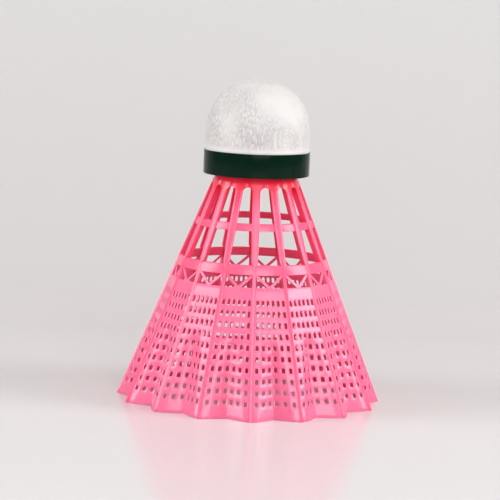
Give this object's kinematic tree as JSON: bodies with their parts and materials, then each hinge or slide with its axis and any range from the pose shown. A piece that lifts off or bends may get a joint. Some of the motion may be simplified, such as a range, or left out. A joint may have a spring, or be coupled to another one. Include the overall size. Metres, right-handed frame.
{
  "type": "badminton shuttlecock",
  "caption": "Synthetic shuttlecock: pink moulded skirt with a pleated net below and an open rib cage above, and a white leather-covered cork head with a dark green band.",
  "frame": {"origin": "centre of the skirt's hem, in the plane it stands on", "axes": "+Z along the shuttlecock's axis, from the skirt to the head; +X through one of the skirt's ribs"},
  "size_m": [0.0648, 0.0648, 0.0789],
  "materials": {
    "skirt_nylon": "glossy pink nylon, slightly translucent",
    "pressed_cork": "pressed cork granules, dry and matte",
    "natural_cork": "natural cork, dry and matte",
    "glue": "set amber adhesive",
    "white_leather": "white grained synthetic leather, semi-gloss",
    "band_tape": "glossy dark green tape"
  },
  "bodies": {
    "root": {"skirt": "skirt_nylon", "cork_base": "pressed_cork", "cork_joint_glue": "glue", "cork_dome": "natural_cork", "plug_glue": "glue", "leather_cover": "white_leather", "green_band": "band_tape"}
  },
  "joints": []
}
